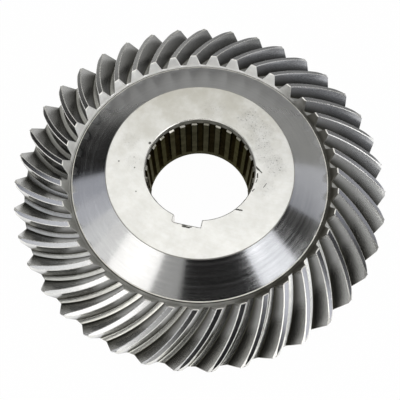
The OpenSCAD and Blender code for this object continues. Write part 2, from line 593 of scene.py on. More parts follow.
boreColumns = []
for n in range(bore["splines"]):
    middle = math.radians(bore["firstGroove"]) + n * splineTurn
    landHalf = splineTurn - mouthHalf
    for offset, kind in ((-mouthHalf, "splineGroove"), (-floorHalf, "splineGroove"), (0, "splineGroove"),
                         (floorHalf, "splineGroove"), (mouthHalf, "splineLand"),
                         ((mouthHalf * 2 + landHalf) / 3, "splineLand"),
                         ((mouthHalf + landHalf * 2) / 3, "splineLand")):
        boreColumns.append((wrapped(middle + offset - keyAngle), kind))
keepFrom = math.asin(halfKey / bore["minorRadius"]) + math.radians(0.35)
boreColumns = sorted(c for c in boreColumns if abs(c[0]) > keepFrom)


# a corner of the keyway in its own directions: out along it, and across it
def keyCorner(side, radius):
    points = []
    for n in range(bore["cornerPoints"]):
        angle = math.radians(90 * n / (bore["cornerPoints"] - 1))
        points.append((bore["keyReach"] - radius + radius * math.sin(angle),
                       side * (halfKey - radius + radius * math.cos(angle))))
    return points


keySteps = bore["keySteps"]
leftCorner = keyCorner(-1, bore["keyCorners"][0])
rightCorner = keyCorner(1, bore["keyCorners"][1])[::-1]
bottomFrom = leftCorner[-1][1]
bottomWidth = rightCorner[0][1] - bottomFrom
keyBottom = [(bore["keyReach"], bottomFrom + bottomWidth * n / keySteps) for n in range(1, keySteps)]
keyPoints = leftCorner + keyBottom + rightCorner

beforeKey = [c for c in boreColumns if c[0] < 0]
afterKey = [c for c in boreColumns if c[0] > 0]


def wallStart(side, radiusAt):
    angle = side * math.asin(halfKey / bore["pilotRadius"])
    for step in range(20):
        angle = side * math.asin(halfKey / radiusAt(angle + keyAngle))
    radius = radiusAt(angle + keyAngle)
    return (radius * math.cos(angle), radius * math.sin(angle))


def arcPoints(columnsHere, radiusAt, grow):
    points = []
    for angle, kind in columnsHere:
        radius = radiusAt(angle + keyAngle) + grow
        points.append((radius * math.cos(angle), radius * math.sin(angle)))
    return points


def boreOutline(radiusAt, grow=0.0):
    corners = [wallStart(-1, radiusAt)] + keyPoints + [wallStart(1, radiusAt)]
    notch = []
    for n, (out, across) in enumerate(corners):
        isEnd = n in (0, len(corners) - 1)
        isWall = abs(across) > halfKey - 0.5
        sideways = math.copysign(grow, across) if isWall else 0
        notch.append((out + grow * (0.9 if isEnd else 1), across + sideways))
    return np.array(arcPoints(beforeKey, radiusAt, grow) + notch + arcPoints(afterKey, radiusAt, grow))


notchCount = len(keyPoints) + 2
columnKinds = [c[1] for c in beforeKey] + ["boreMouth"] * notchCount + [c[1] for c in afterKey]
pilotAt = lambda angle: bore["pilotRadius"]
pilotOutline = boreOutline(pilotAt)
mouthOutline = boreOutline(pilotAt, bore["mouthBevel"])
splineOutline = boreOutline(splineRadius)
endOutline = splineOutline + (pilotOutline - splineOutline) * bore["endShare"]
frontEnds = ["splineEnd" if kind == "splineLand" else kind for kind in columnKinds]
pilotKinds = ["boreMouth" if kind == "boreMouth" else "pilotBore" for kind in columnKinds]

# nicks and a gouge on the mouth of the keyway
rng = np.random.default_rng(12)
gougeDepth, gougeAt, gougeWidth = bore["gouge"]
bottomColumn = len(beforeKey) + 1 + len(leftCorner)
for n in range(keySteps - 1):
    share = n / (keySteps - 2)
    gouge = gougeDepth * math.exp(-((share - gougeAt) / gougeWidth) ** 2)
    mouthOutline[bottomColumn + n][0] += gouge + bore["nicks"] * rng.random()


def toFrame(outline, level):
    x = outline[:, 0] * math.cos(keyAngle) - outline[:, 1] * math.sin(keyAngle)
    y = outline[:, 0] * math.sin(keyAngle) + outline[:, 1] * math.cos(keyAngle)
    return np.stack([x, y, np.full(len(x), level)], -1)


depth = bore["pilotDepth"]
bevel = bore["mouthBevel"]
ends = bore["endBevel"]
# levels down the bore: its outline there, the height, and the finish from the level above
boreLevels = [
    (mouthOutline, topZ, None),
    (pilotOutline, topZ - bevel, "boreMouth"),
    (pilotOutline, topZ - depth, pilotKinds),
    (endOutline, topZ - depth, frontEnds),
    (splineOutline, topZ - depth - ends, frontEnds),
    (splineOutline, topZ / 2, columnKinds),
    (splineOutline, depth + ends, columnKinds),
    (endOutline, depth, columnKinds),
    (pilotOutline, depth, columnKinds),
    (pilotOutline, bevel, "splineLand"),
    (mouthOutline, 0.0, "splineLand"),
]
boreRun = runAlong(closed(pilotOutline))
boreRows = [addRow(toFrame(outline, level)) for outline, level, finish in boreLevels]
for n in range(1, len(boreLevels)):
    uvA = [(run, boreLevels[n - 1][1]) for run in boreRun]
    uvB = [(run, boreLevels[n][1]) for run in boreRun]
    addStrip(closed(boreRows[n - 1]), closed(boreRows[n]), uvA, uvB, boreLevels[n][2])


# flat faces between a round ring and the mouth of the bore
def addFlat(outer, inner, finish):
    angleOf = lambda v: math.atan2(verts[v][1], verts[v][0])
    uvOf = lambda v: (verts[v][0] / mm, verts[v][1] / mm)
    outerRow = sorted(outer, key=angleOf)
    innerRow = sorted(inner, key=angleOf)
    outerAngles = [angleOf(v) for v in outerRow] + [angleOf(outerRow[0]) + 2 * math.pi]
    innerAngles = [angleOf(v) for v in innerRow] + [angleOf(innerRow[0]) + 2 * math.pi]
    a, b = 0, 0
    while a < len(outerRow) or b < len(innerRow):
        stepOuter = b == len(innerRow) or (a < len(outerRow) and outerAngles[a + 1] < innerAngles[b + 1])
        p = outerRow[a % len(outerRow)]
        q = innerRow[b % len(innerRow)]
        if stepOuter:
            a += 1
            r = outerRow[a % len(outerRow)]
        else:
            b += 1
            r = innerRow[b % len(innerRow)]
        addFace((p, q, r), (uvOf(p), uvOf(q), uvOf(r)), finish)


addFlat(hubRing, boreRows[0], "hubFace")
addFlat(bossRing, boreRows[-1], "turnedBack")
print("bore made", len(verts), "points", len(faces), "faces")

gearMesh = bpy.data.meshes.new("bevelGear")
gearMesh.from_pydata(verts, [], faces)
uvLayer = gearMesh.uv_layers.new(name="surfaceMm")
flatUvs = np.array([uv for corners in faceUvs for uv in corners], np.float32).ravel()
uvLayer.data.foreach_set("uv", flatUvs)
gearMesh.polygons.foreach_set("material_index", np.array(faceFinish, np.int32))
sharpFrom = math.radians(24)
work = bmesh.new()
work.from_mesh(gearMesh)
bmesh.ops.recalc_face_normals(work, faces=work.faces)
openEdges = sum(1 for e in work.edges if len(e.link_faces) != 2)
for f in work.faces:
    f.smooth = True
for e in work.edges:
    sides = {f.material_index for f in e.link_faces}
    atHub = finishIndex["hubFace"] in sides and len(sides) > 1
    e.smooth = e.calc_face_angle(math.pi) < sharpFrom and not atHub
volume = work.calc_volume(signed=True)
work.to_mesh(gearMesh)
work.free()
gearPiece = bpy.data.objects.new("bevelGear", gearMesh)
scene.collection.objects.link(gearPiece)
print("open edges", openEdges, "volume mm3", round(volume * 1e9))


# helpers for shader nodes
def link(tree, value, socket):
    if isinstance(value, (int, float, tuple)):
        socket.default_value = value
    else:
        tree.links.new(value, socket)


def sums(tree, operation, first, second=0.0, third=None, clamp=False):
    node = tree.nodes.new("ShaderNodeMath")
    node.operation = operation
    node.use_clamp = clamp
    link(tree, first, node.inputs[0])
    link(tree, second, node.inputs[1])
    if third is not None:
        link(tree, third, node.inputs[2])
    return node.outputs[0]


def vectors(tree, operation, first, second=(0.0, 0.0, 0.0)):
    node = tree.nodes.new("ShaderNodeVectorMath")
    node.operation = operation
    link(tree, first, node.inputs[0])
    link(tree, second, node.inputs["Scale"] if operation == "SCALE" else node.inputs[1])
    return node.outputs["Value"] if operation in ("DOT_PRODUCT", "LENGTH", "DISTANCE") else node.outputs[0]


def split(tree, vector):
    node = tree.nodes.new("ShaderNodeSeparateXYZ")
    tree.links.new(vector, node.inputs[0])
    return node.outputs


def joined(tree, x, y):
    node = tree.nodes.new("ShaderNodeCombineXYZ")
    link(tree, x, node.inputs[0])
    link(tree, y, node.inputs[1])
    return node.outputs[0]


def noise(tree, place, scale, detail=3.0, rough=0.55):
    node = tree.nodes.new("ShaderNodeTexNoise")
    link(tree, place, node.inputs["Vector"])
    link(tree, scale, node.inputs["Scale"])
    node.inputs["Detail"].default_value = detail
    node.inputs["Roughness"].default_value = rough
    return node.outputs["Fac"]


def between(tree, value, low, high, to0=0.0, to1=1.0):
    node = tree.nodes.new("ShaderNodeMapRange")
    node.interpolation_type = "SMOOTHSTEP"
    for socket, number in zip(node.inputs, (value, low, high, to0, to1)):
        link(tree, number, socket)
    return node.outputs["Result"]


def mixed(tree, share, first, second):
    node = tree.nodes.new("ShaderNodeMix")
    node.data_type = "RGBA"
    link(tree, share, node.inputs["Factor"])
    link(tree, first, node.inputs[6])
    link(tree, second, node.inputs[7])
    return node.outputs[2]


# a ramp between greys, each at its own place
def greys(tree, value, stops):
    node = tree.nodes.new("ShaderNodeValToRGB")
    elements = node.color_ramp.elements
    for n, (place, grey) in enumerate(stops):
        stop = elements[n] if n < 2 else elements.new(place)
        stop.position = place
        stop.color = (grey, grey, grey, 1)
    link(tree, value, node.inputs["Fac"])
    return node.outputs["Color"]


# a shader group: inputs without a number are vectors, and all its outputs are values
def newGroup(name, inputs, outputs):
    tree = bpy.data.node_groups.new(name, "ShaderNodeTree")
    for label, value in inputs.items():
        kind = "NodeSocketVector" if value is None else "NodeSocketFloat"
        socket = tree.interface.new_socket(label, in_out="INPUT", socket_type=kind)
        if value is not None:
            socket.default_value = value
    for label in outputs:
        tree.interface.new_socket(label, in_out="OUTPUT", socket_type="NodeSocketFloat")
    source = tree.nodes.new("NodeGroupInput")
    target = tree.nodes.new("NodeGroupOutput")
    return tree, source.outputs, target.inputs


def useGroup(tree, group, **values):
    node = tree.nodes.new("ShaderNodeGroup")
    node.node_tree = group
    for label, value in values.items():
        link(tree, value, node.inputs[label])
    return node.outputs


# lines left by turning: long round the part, close together across it
tree, given, wanted = newGroup("turnedLines", {"Surface": None, "Spacing": 0.5}, ("Height", "Streak"))
axes = split(tree, given["Surface"])
rise = sums(tree, "DIVIDE", axes["Y"], given["Spacing"])
stretched = joined(tree, sums(tree, "MULTIPLY", axes["X"], 0.012), rise)
fine = noise(tree, stretched, 1.0, 2.0, 0.6)
broad = noise(tree, stretched, 0.22, 2.0, 0.5)
link(tree, sums(tree, "MULTIPLY_ADD", broad, 0.6, fine), wanted["Height"])
link(tree, between(tree, broad, 0.3, 0.7), wanted["Streak"])
turnedLines = tree

# a soft spot with a frayed border
tree, given, wanted = newGroup("softSpot", {"Place": None, "Centre": None, "Reach": 1.0, "Fray": 0.4},
                               ("Mask",))
share = sums(tree, "DIVIDE", vectors(tree, "DISTANCE", given["Place"], given["Centre"]), given["Reach"])
frayScale = sums(tree, "DIVIDE", 2.6, given["Reach"])
wave = sums(tree, "SUBTRACT", noise(tree, given["Place"], frayScale, 4.0, 0.65), 0.5)
wave = sums(tree, "MULTIPLY", wave, given["Fray"])
near = sums(tree, "ADD", sums(tree, "SUBTRACT", 1.0, share), wave)
link(tree, between(tree, near, 0.0, 0.6), wanted["Mask"])
softSpot = tree

# a scratch from one place to another
tree, given, wanted = newGroup("scratch", {"Place": None, "From": None, "To": None, "Width": 0.5}, ("Mask",))
whole = vectors(tree, "SUBTRACT", given["To"], given["From"])
reached = vectors(tree, "SUBTRACT", given["Place"], given["From"])
along = vectors(tree, "DOT_PRODUCT", reached, whole)
along = sums(tree, "DIVIDE", along, vectors(tree, "DOT_PRODUCT", whole, whole), clamp=True)
away = vectors(tree, "DISTANCE", reached, vectors(tree, "SCALE", whole, along))
ragged = sums(tree, "MULTIPLY_ADD", noise(tree, given["Place"], 1.7, 3.0), 1.4, 0.3)
share = sums(tree, "DIVIDE", away, sums(tree, "MULTIPLY", given["Width"], ragged))
link(tree, between(tree, share, 1.0, 0.35), wanted["Mask"])
scratch = tree

# blotches of stain, in two sizes
tree, given, wanted = newGroup("blotches", {"Place": None, "Size": 10.0}, ("Tone", "Specks"))
large = noise(tree, given["Place"], sums(tree, "DIVIDE", 1.0, given["Size"]), 5.0, 0.62)
small = noise(tree, given["Place"], sums(tree, "DIVIDE", 5.0, given["Size"]), 3.0, 0.6)
link(tree, between(tree, large, 0.32, 0.68), wanted["Tone"])
link(tree, between(tree, small, 0.57, 0.74), wanted["Specks"])
blotches = tree

# marks of the cutter along a tooth, and a mask low in the slot near its root: oil there, and painted shade in
# the root
tree, given, wanted = newGroup("cutMarks", {"Surface": None}, ("Height", "Tone", "Root"))
axes = split(tree, given["Surface"])
level = sums(tree, "ABSOLUTE", axes["Y"])
slanted = sums(tree, "MULTIPLY_ADD", axes["X"], 0.16, axes["Y"])
stretched = joined(tree, sums(tree, "MULTIPLY", axes["X"], 0.05), sums(tree, "MULTIPLY", slanted, 2.4))
lines = noise(tree, stretched, 1.0, 2.0, 0.6)
patch = noise(tree, given["Surface"], 0.13, 4.0, 0.6)
tone = sums(tree, "MULTIPLY_ADD", lines, 0.3, patch)
uneven = sums(tree, "MULTIPLY_ADD", patch, 0.6, level)
link(tree, lines, wanted["Height"])
link(tree, between(tree, tone, 0.45, 0.85), wanted["Tone"])
link(tree, between(tree, uneven, 13.0, 3.4), wanted["Root"])
cutMarks = tree

looks = {}


def newMaterial(name):
    looks[name] = bpy.data.materials.new(name)
    looks[name].use_nodes = True
    tree = looks[name].node_tree
    return tree, tree.nodes["Principled BSDF"]


def dress(tree, surface, colour, metal, rough):
    link(tree, colour, surface.inputs["Base Color"])
    link(tree, metal, surface.inputs["Metallic"])
    link(tree, rough, surface.inputs["Roughness"])


def surfaceUv(tree):
    node = tree.nodes.new("ShaderNodeUVMap")
    node.uv_map = "surfaceMm"
    return node.outputs["UV"]


def placeMm(tree):
    node = tree.nodes.new("ShaderNodeTexCoord")
    return vectors(tree, "SCALE", node.outputs["Object"], 1000.0)


def addBump(tree, surface, height, strength, distance):
    node = tree.nodes.new("ShaderNodeBump")
    node.inputs["Strength"].default_value = strength
    node.inputs["Distance"].default_value = distance * mm
    link(tree, height, node.inputs["Height"])
    tree.links.new(node.outputs["Normal"], surface.inputs["Normal"])


def tint(colour, factor=1.0):
    return (colour[0] * factor, colour[1] * factor, colour[2] * factor, 1.0)


# dark oil that has stayed on the right of the ledge and of the toe ends, and a film in front
oilLook = {
    "from": 36.0,
    "to": 66.0,
    "lean": -0.25,
    "ragged": 24.0,
    "share": 0.95,
    "colour": (0.050, 0.046, 0.034),
    "filmFrom": 34.0,
    "filmTo": -22.0,
    "film": (0.31, 0.308, 0.288),
}


def addOil(tree, colour):
    place = placeMm(tree)
    axes = split(tree, place)
    wavy = sums(tree, "SUBTRACT", noise(tree, place, 0.06, 4.0, 0.6), 0.5)
    across = sums(tree, "MULTIPLY_ADD", axes["Y"], oilLook["lean"], axes["X"])
    edge = sums(tree, "MULTIPLY_ADD", wavy, oilLook["ragged"], across)
    share = between(tree, edge, oilLook["from"], oilLook["to"], 0.0, oilLook["share"])
    lower = sums(tree, "MULTIPLY_ADD", wavy, oilLook["ragged"], axes["Y"])
    film = between(tree, lower, oilLook["filmFrom"], oilLook["filmTo"])
    colour = mixed(tree, film, colour, tint(oilLook["film"]))
    return mixed(tree, share, colour, tint(oilLook["colour"]))


# turned or ground surfaces: those with a stretch smear what they mirror across their lines
turnedLook = {
    "turnedCone": {"base": (0.61, 0.61, 0.61), "vary": 0.92, "rough": 0.165, "stretch": 0.75, "spacing": 0.55,
                   "bump": 0.12, "dull": (30.0, 62.0, 0.0, 0.15)},   # rougher towards the back
    # the ledge is near-white and partly non-metal: a painted sheen in place of the bright reflection of its
    # steel, with oil on the right
    "ledge": {"base": (0.94, 0.935, 0.91), "vary": 0.85, "rough": 0.34, "stretch": 0.5, "spacing": 0.3,
              "bump": 0.2, "metal": 0.4, "oiled": True},
    # rimWall is near-black: painted shadow in the small step below the rim line
    "rimWall": {"base": (0.06, 0.058, 0.05), "vary": 0.7, "rough": 0.45, "spacing": 0.3, "bump": 0.1},
    # rimLine is near-white with almost no metal: a painted highlight along the rounded rim edge
    "rimLine": {"base": (0.96, 0.94, 0.86), "vary": 0.9, "rough": 0.42, "spacing": 0.3, "bump": 0.1,
                "metal": 0.1},
    "hubEdge": {"base": (0.42, 0.41, 0.38), "vary": 0.7, "rough": 0.40, "spacing": 0.3, "bump": 0.1},
    "boreMouth": {"base": (0.97, 0.95, 0.90), "vary": 0.85, "rough": 0.28, "spacing": 0.6, "bump": 0.1},
    "pilotBore": {"base": (0.11, 0.106, 0.084), "vary": 0.7, "rough": 0.36, "stretch": 0.4, "spacing": 0.4,
                  "bump": 0.2},
    "turnedBack": {"base": (0.36, 0.355, 0.34), "vary": 0.8, "rough": 0.34, "stretch": 0.6, "spacing": 0.6,
                   "bump": 0.3},
}
turnedStain = {"size": 14.0, "share": 0.22, "tone": 0.72}
for name, look in turnedLook.items():
    tree, surface = newMaterial(name)
    lines = useGroup(tree, turnedLines, Surface=surfaceUv(tree), Spacing=look["spacing"])
    soilAndShade = useGroup(tree, blotches, Place=placeMm(tree), Size=turnedStain["size"])
    colour = mixed(tree, lines["Streak"], tint(look["base"], look["vary"]), tint(look["base"]))
    stain = sums(tree, "MULTIPLY", soilAndShade["Tone"], turnedStain["share"])
    colour = mixed(tree, stain, colour, tint(look["base"], turnedStain["tone"]))
    if "oiled" in look:
        colour = addOil(tree, colour)
    rough = sums(tree, "MULTIPLY_ADD", lines["Streak"], 0.05, look["rough"] - 0.025)
    if "dull" in look:
        back = split(tree, placeMm(tree))["Y"]
        rough = sums(tree, "ADD", rough, between(tree, back, *look["dull"]))
    dress(tree, surface, colour, look.get("metal", 1.0), rough)
    if "stretch" in look:
        surface.inputs["Anisotropic"].default_value = look["stretch"]
        surface.inputs["Anisotropic Rotation"].default_value = 0.25
        around = tree.nodes.new("ShaderNodeTangent")
        around.direction_type = "RADIAL"
        around.axis = "Z"
        tree.links.new(around.outputs[0], surface.inputs["Tangent"])
    addBump(tree, surface, lines["Height"], look["bump"], 0.02)

# the ground hub face, with its stains, pits and nicks where the photograph has them
hubLook = {
    "pale": (0.86, 0.862, 0.845),
    "warm": (0.68, 0.665, 0.60),
    "stain": (0.15, 0.147, 0.135),
    "dark": (0.055, 0.052, 0.045),
    "rough": 0.40,
    "blotchSize": 16.0,
    "speckSize": 9.0,
    "grainSize": 4.5,
    "warmFrom": 22.0,     # up the face, and ragged by so much
    "warmTo": 96.0,
    "warmRagged": 34.0,
    "wheelCentre": (70.0, 95.0, 0.0),
    "stainBetween": 0.14,   # share of a stain between its specks
    "harm": 0.93,         # share of the dark colour in pits and scratches
    "pits": [(-57.6, 4.7, 0.75), (-46.2, -0.2, 0.65), (-44.3, -18.4, 0.6), (-36.2, 19.3, 1.3),
             (-47.0, 8.0, 0.4)],
    "scratches": [(39.6, 1.2, 41.6, -1.0, 0.95), (41.4, -0.8, 43.6, -3.2, 0.55),
                  (40.6, -4.0, 40.4, -7.0, 0.6), (40.2, -8.5, 39.2, -10.8, 0.35),
                  (37.9, -15.8, 36.7, -17.3, 0.5), (25.0, -31.0, 29.1, -31.7, 0.7),
                  (46.6, -11.5, 44.4, -14.5, 0.3)],
    "chips": [(-11.5, -43.6, -7.0, -44.6, 0.75), (-8.5, -44.2, -5.5, -44.3, 0.5)],
    "stains": [(53.5, 2.5, 10.0, 0.95), (44.0, 27.0, 13.0, 0.85), (36.0, 40.0, 11.0, 0.90),
               (45.0, 13.0, 11.0, 0.75), (-47.0, 4.0, 9.0, 0.35), (9.0, 47.0, 12.0, 0.36),
               (-50.0, 21.0, 8.0, 0.35), (46.0, -14.0, 9.0, 0.55)],
}
tree, surface = newMaterial("hubFace")
place = placeMm(tree)
axes = split(tree, place)
flat = vectors(tree, "MULTIPLY", place, (1.0, 1.0, 0.0))
soilAndShade = useGroup(tree, blotches, Place=flat, Size=hubLook["blotchSize"])
grain = useGroup(tree, blotches, Place=flat, Size=hubLook["grainSize"])
coarse = useGroup(tree, blotches, Place=flat, Size=hubLook["speckSize"])
specks = sums(tree, "MAXIMUM", grain["Specks"], coarse["Specks"])
upper = sums(tree, "MULTIPLY_ADD", soilAndShade["Tone"], hubLook["warmRagged"], axes["Y"])
upper = between(tree, upper, hubLook["warmFrom"], hubLook["warmTo"])
colour = mixed(tree, upper, tint(hubLook["pale"]), tint(hubLook["warm"]))
# arcs left by the grinding wheel
wheel = vectors(tree, "DISTANCE", flat, hubLook["wheelCentre"])
wheelPlace = joined(tree, sums(tree, "MULTIPLY", wheel, 0.55), sums(tree, "MULTIPLY", axes["X"], 0.02))
arcs = between(tree, noise(tree, wheelPlace, 1.0, 2.0, 0.7), 0.35, 0.65)
# soft marks: where they are, their share and their tone
for mask, share, tone in ((soilAndShade["Tone"], 0.14, 0.95), (grain["Tone"], 0.22, 0.90), (arcs, 0.13, 1.04)):
    colour = mixed(tree, sums(tree, "MULTIPLY", mask, share), colour, tint(hubLook["warm"], tone))
speckShare = sums(tree, "MULTIPLY_ADD", specks, 1 - hubLook["stainBetween"], hubLook["stainBetween"])
for x, y, reach, strength in hubLook["stains"]:
    spot = useGroup(tree, softSpot, Place=flat, Centre=(x, y, 0.0), Reach=reach, Fray=1.5)
    worn = sums(tree, "MULTIPLY", spot["Mask"], speckShare)
    colour = mixed(tree, sums(tree, "MULTIPLY", worn, strength), colour, tint(hubLook["stain"]))
marks = []
for x, y, reach in hubLook["pits"]:
    marks.append(useGroup(tree, softSpot, Place=flat, Centre=(x, y, 0.0), Reach=reach, Fray=0.6))
for x0, y0, x1, y1, width in hubLook["scratches"] + hubLook["chips"]:
    marks.append(useGroup(tree, scratch, Place=flat, From=(x0, y0, 0.0), To=(x1, y1, 0.0), Width=width))
harm = marks[0]["Mask"]
for mark in marks[1:]:
    harm = sums(tree, "MAXIMUM", harm, mark["Mask"])
colour = mixed(tree, sums(tree, "MULTIPLY", harm, hubLook["harm"]), colour, tint(hubLook["dark"]))
rough = sums(tree, "MULTIPLY_ADD", soilAndShade["Tone"], 0.08, hubLook["rough"] - 0.04)
dress(tree, surface, colour, 1.0, sums(tree, "MULTIPLY_ADD", harm, 0.3, rough, clamp=True))
height = sums(tree, "MULTIPLY_ADD", harm, -1.2, sums(tree, "MULTIPLY", arcs, 0.12))
addBump(tree, surface, height, 0.35, 0.12)

# painted reflection: to rays mirrored off the cone, the inner ends of the teeth show a plain grey by the
# clock angle in place of their own shading
paintedReflectionGreys = {
    "whole": float(toeTip[0]) + 9.0,   # radius up to which it is so, and where it ends
    "none": float(toeTip[0]) + 17.0,
    "greys": [(-180.0, 0.80), (-100.0, 0.75), (20.0, 0.75), (50.0, 0.45), (90.0, 0.41), (118.0, 0.44),
              (140.0, 0.44), (153.0, 0.09), (166.0, 0.02)],
}
# tones painted on the teeth by side of the gear, standing in for the darker, bluish light they mirror there:
# their side, where they start and are whole along it, their share and colour
paintedSideTones = {
    "upperRight": ((0.6, 0.8, 0.0), 55.0, 112.0, 1.0, (0.40, 0.405, 0.425)),
    "upperLeft": ((-0.55, 0.835, 0.0), 48.0, 100.0, 0.68, (0.25, 0.248, 0.238)),
    "right": ((1.0, 0.0, 0.0), -45.0, 25.0, 1.0, (0.42, 0.42, 0.435)),
}
# tooth surfaces: cut flanks, brighter floors, lands and toe ends, with oil and painted shade darkening the
# roots
toothLook = {
    "toothFlank": {"base": (0.72, 0.72, 0.71), "oilAndShade": (0.050, 0.047, 0.034), "soilAndShade": 0.88, "vary": 0.96,
                   "rough": 0.22, "bump": 0.02, "metal": 0.90, "under": "upperRight", "over": "upperLeft"},
    "slotFloor": {"base": (0.76, 0.756, 0.72), "oilAndShade": (0.50, 0.495, 0.45), "soilAndShade": 0.25, "vary": 0.88,
                  "rough": 0.20, "bump": 0.08},
    # the root fillet is dark itself: painted shade in the crease at the foot of each flank, with oil
    "rootFillet": {"base": (0.18, 0.174, 0.145), "oilAndShade": (0.07, 0.066, 0.048), "soilAndShade": 0.8, "vary": 0.75,
                   "rough": 0.36, "bump": 0.20},
    "topLand": {"base": (0.70, 0.70, 0.70), "vary": 0.94, "rough": 0.20, "bump": 0.05, "under": "right"},
    # the toe faces are near-white and mostly non-metal: a painted sheen in place of the bright reflection of
    # their steel, with oil on the right
    "toeFace": {"base": (0.92, 0.918, 0.90), "vary": 0.90, "rough": 0.30, "bump": 0.15, "metal": 0.25,
                "oiled": True},
    # toeEdge is near-white with almost no metal: painted glints along the top edges of the toe ends
    "toeEdge": {"base": (0.98, 0.965, 0.92), "vary": 0.94, "rough": 0.30, "bump": 0.10, "metal": 0.15},
    "brokenEdge": {"base": (0.94, 0.93, 0.895), "vary": 0.85, "rough": 0.27, "bump": 0.15, "metal": 0.8},
}


def addPaintedSideTone(tree, place, colour, name):
    side, start, whole, share, shade = paintedSideTones[name]
    reached = vectors(tree, "DOT_PRODUCT", place, side)
    return mixed(tree, between(tree, reached, start, whole, 0.0, share), colour, tint(shade))


for name, look in toothLook.items():
    tree, surface = newMaterial(name)
    marks = useGroup(tree, cutMarks, Surface=surfaceUv(tree))
    place = placeMm(tree)
    colour = mixed(tree, marks["Tone"], tint(look["base"], look["vary"]), tint(look["base"]))
    if "oiled" in look:
        colour = addOil(tree, colour)
    # painted reflection: darker, bluish tones by side of the gear
    if "under" in look:
        colour = addPaintedSideTone(tree, place, colour, look["under"])
    if "soilAndShade" in look:
        # oil and painted shade in the root: darker low in the slot
        colour = mixed(tree, sums(tree, "MULTIPLY", marks["Root"], look["soilAndShade"]), colour, tint(look["oilAndShade"]))
    if "over" in look:
        colour = addPaintedSideTone(tree, place, colour, look["over"])
    # painted reflection: glossy rays near the toe see a grey by the clock angle, and less metal
    path = tree.nodes.new("ShaderNodeLightPath")
    radius = vectors(tree, "LENGTH", vectors(tree, "MULTIPLY", place, (1.0, 1.0, 0.0)))
    inner = between(tree, radius, paintedReflectionGreys["none"], paintedReflectionGreys["whole"])
    paintedReflection = sums(tree, "MULTIPLY", path.outputs["Is Glossy Ray"], inner)
    axes = split(tree, place)
    clock = sums(tree, "ARCTAN2", axes["Y"], axes["X"])
    clock = sums(tree, "MULTIPLY_ADD", clock, 0.5 / math.pi, 0.5)
    stops = [(angle / 360 + 0.5, grey) for angle, grey in paintedReflectionGreys["greys"]]
    colour = mixed(tree, paintedReflection, colour, greys(tree, clock, stops))
    metal = look.get("metal", 1.0)
    rough = sums(tree, "MULTIPLY_ADD", marks["Tone"], -0.04, look["rough"] + 0.02)
    dress(tree, surface, colour, sums(tree, "MULTIPLY_ADD", paintedReflection, -metal, metal), rough)
    addBump(tree, surface, marks["Height"], look["bump"], 0.03)

# the bore: dark, dull lands, grooves darker still as painted shade in their recesses, and bright ends on the
# splines
boreLook = {
    "splineLand": {"base": (0.058, 0.056, 0.043), "other": (0.040, 0.039, 0.030), "rough": 0.42,
                   "edge": 0.45},
    # splineGroove is darker than splineLand: painted shade down in the grooves
    "splineGroove": {"base": (0.024, 0.021, 0.013), "other": (0.016, 0.014, 0.009), "rough": 0.55,
                     "edge": 0.40},
    "splineEnd": {"base": (0.78, 0.76, 0.69), "other": (0.30, 0.29, 0.24), "rough": 0.34, "edge": 1.0},
}
for name, look in boreLook.items():
    tree, surface = newMaterial(name)
    soilAndShade = useGroup(tree, blotches, Place=placeMm(tree), Size=5.0)
    colour = mixed(tree, soilAndShade["Tone"], tint(look["base"]), tint(look["other"]))
    rough = sums(tree, "MULTIPLY_ADD", soilAndShade["Tone"], 0.12, look["rough"] - 0.06)
    dress(tree, surface, colour, 1.0, rough)
    surface.inputs["Specular Tint"].default_value = tint((1.0, 0.97, 0.82), look["edge"])

for name in finishes:
    gearMesh.materials.append(looks[name])
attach(gearPiece, "root")
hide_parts("bevel_gear")
print("materials made")

# the studio: a pale floor, soft panels and a grey surround
floorLook = {"reach": 4.0, "level": -0.0003, "paper": 0.9, "white": 0.985}
square = ((-1, -1), (1, -1), (1, 1), (-1, 1))
floorCorners = [(x * floorLook["reach"], y * floorLook["reach"], floorLook["level"]) for x, y in square]
floorMesh = bpy.data.meshes.new("floor")
floorMesh.from_pydata(floorCorners, [], [(0, 1, 2, 3)])
floor = bpy.data.objects.new("floor", floorMesh)
scene.collection.objects.link(floor)
tree, surface = newMaterial("paleFloor")
tree.nodes.remove(surface)
paper = tree.nodes.new("ShaderNodeBsdfDiffuse")
paper.inputs["Color"].default_value = tint((1.0, 1.0, 1.0), floorLook["paper"])
glow = tree.nodes.new("ShaderNodeEmission")
path = tree.nodes.new("ShaderNodeLightPath")
seen = sums(tree, "MAXIMUM", path.outputs["Is Camera Ray"], path.outputs["Is Glossy Ray"])
seen = sums(tree, "MAXIMUM", seen, path.outputs["Is Transmission Ray"])
blendFloor = tree.nodes.new("ShaderNodeMixShader")
link(tree, sums(tree, "MULTIPLY", seen, floorLook["white"]), blendFloor.inputs[0])
link(tree, paper.outputs[0], blendFloor.inputs[1])
link(tree, glow.outputs[0], blendFloor.inputs[2])
link(tree, blendFloor.outputs[0], tree.nodes["Material Output"].inputs["Surface"])
floorMesh.materials.append(looks["paleFloor"])

# the camera, fitted to the photograph: its lens, its place and the directions of its own axes
cameraFit = {
    "sensor": 36.0,
    "lens": 51.962,
    "place": (0.0, -0.172047, 0.427443),
    "right": (0.99994545, 0.00944505, 0.00446046),
    "up": (-0.01042524, 0.92891613, 0.3701434),
    "forward": (0.00064737, 0.37016971, -0.92896392),
}
cameraData = bpy.data.cameras.new("camera")
cameraData.sensor_fit = "HORIZONTAL"
cameraData.sensor_width = cameraFit["sensor"]
cameraData.lens = cameraFit["lens"]
cameraData.clip_start = 0.01
camera = bpy.data.objects.new("camera", cameraData)
scene.collection.objects.link(camera)
cameraPlace = Vector(cameraFit["place"])
backward = -Vector(cameraFit["forward"])
turn = Matrix((cameraFit["right"], cameraFit["up"], backward)).transposed()
camera.matrix_world = Matrix.Translation(cameraPlace) @ turn.to_4x4()
scene.camera = camera

